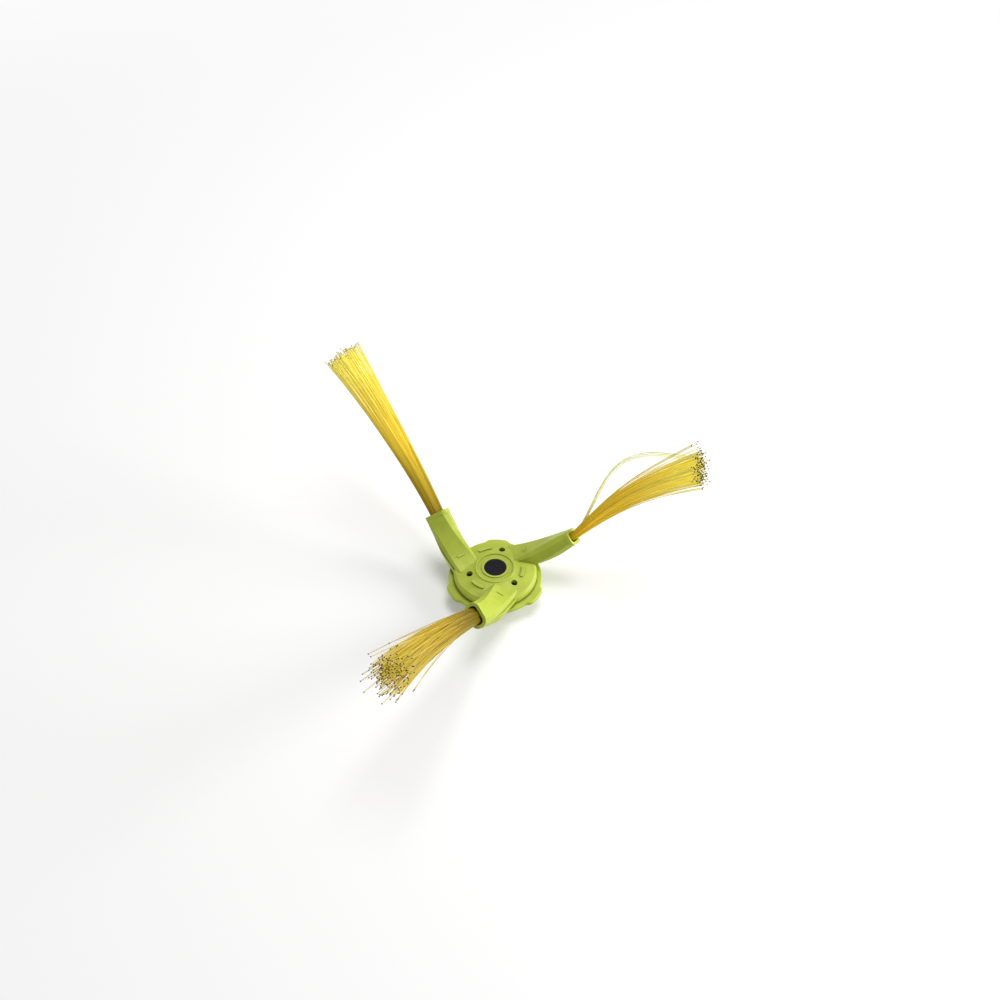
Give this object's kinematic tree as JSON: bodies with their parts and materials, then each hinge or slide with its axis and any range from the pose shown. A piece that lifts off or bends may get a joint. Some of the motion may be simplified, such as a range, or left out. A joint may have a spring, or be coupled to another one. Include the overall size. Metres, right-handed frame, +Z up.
{
  "type": "robot vacuum side brush",
  "caption": "Rotary side brush of a robot vacuum: disc-shaped moulded hub with swept, rising arms that each hold a fanned nylon bristle tuft, over a scalloped base with a hex drive socket.",
  "frame": {"origin": "centre of the drive socket, on the flat end of the drive boss that the brush rests on", "axes": "+Z up the hub's axis, away from the drive; +X along the first arm"},
  "size_m": [0.1291, 0.1438, 0.0611],
  "materials": {
    "moulding": "satin moulded",
    "keeper_steel": "blackened steel",
    "bristle": "translucent nylon"
  },
  "bodies": {
    "root": {"hub_base": "moulding", "hub_cover": "moulding", "keeper": "keeper_steel", "tuft_right": "bristle", "tuft_left": "bristle", "tuft_front": "bristle"}
  },
  "joints": []
}
